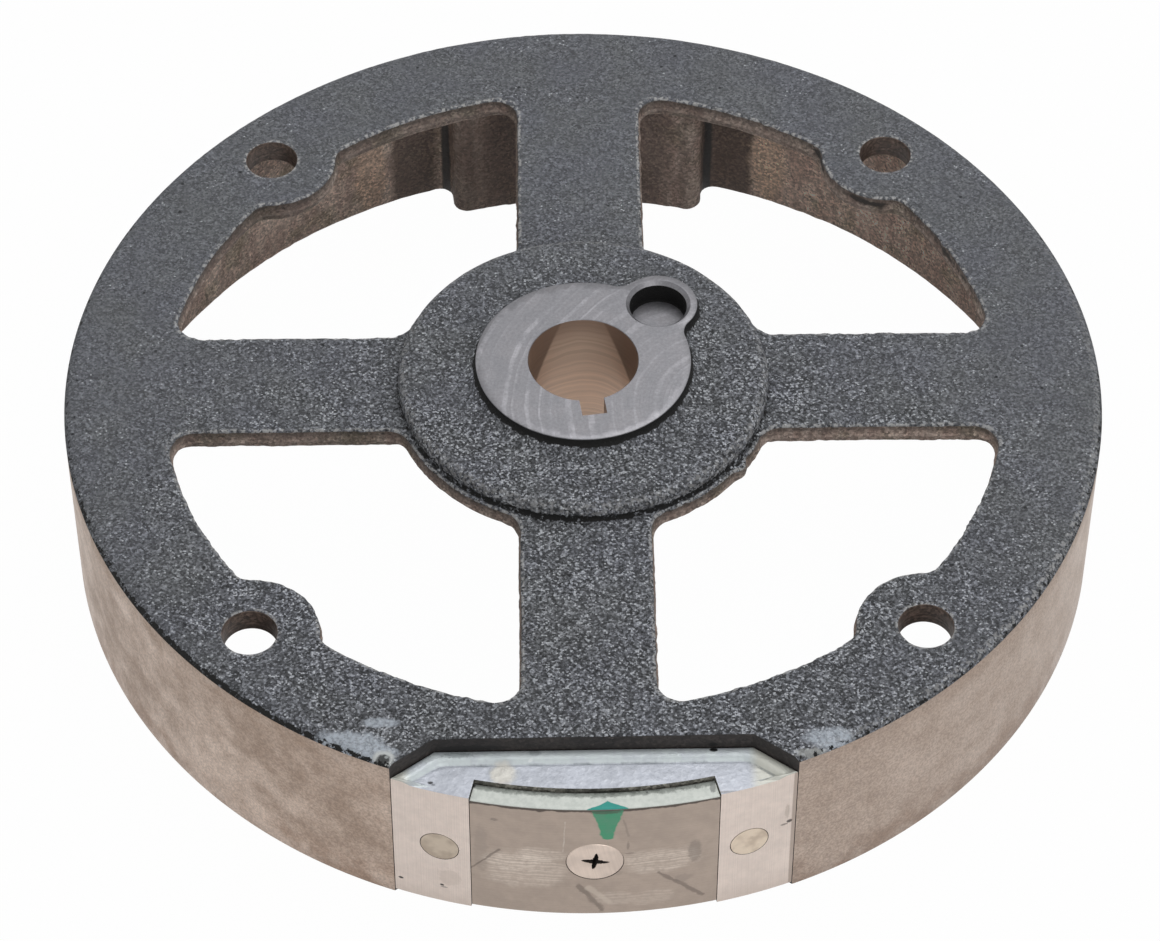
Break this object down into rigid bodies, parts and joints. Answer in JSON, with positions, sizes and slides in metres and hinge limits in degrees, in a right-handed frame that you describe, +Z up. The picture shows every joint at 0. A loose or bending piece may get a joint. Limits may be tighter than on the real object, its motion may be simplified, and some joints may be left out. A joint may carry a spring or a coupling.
{
  "type": "magneto flywheel",
  "caption": "Spoked cast iron flywheel with a keyed hub, a drive hole, fan bolt holes and a magnet group let into its rim.",
  "frame": {"origin": "on the shaft's axis, at the level of the rim's lower edge", "axes": "+Z up along the shaft's axis towards the hub face, the magnet group at -Y, the spokes on X and Y"},
  "size_m": [0.2096, 0.2096, 0.0462],
  "materials": {
    "cast_iron": "as-cast dark grey faces, machined tan rim and light grey hub pad",
    "retainer_aluminium": "as-cast blue-grey top, machined pale side faces",
    "shoe_steel": "turned, with scratches and light smears, and a small patch of green paint",
    "magnet_alloy": "rough cast magnet alloy",
    "screw_steel": "turned flush, with a dark cross recess",
    "pin_metal": "turned flush, a little yellower than the retainer"
  },
  "bodies": {
    "root": {"wheel_casting": "cast_iron", "magnet_retainer": "retainer_aluminium", "pole_shoe": "shoe_steel", "magnet": "magnet_alloy", "pole_screw": "screw_steel", "retaining_pin_left": "pin_metal", "retaining_pin_right": "pin_metal"}
  },
  "joints": []
}
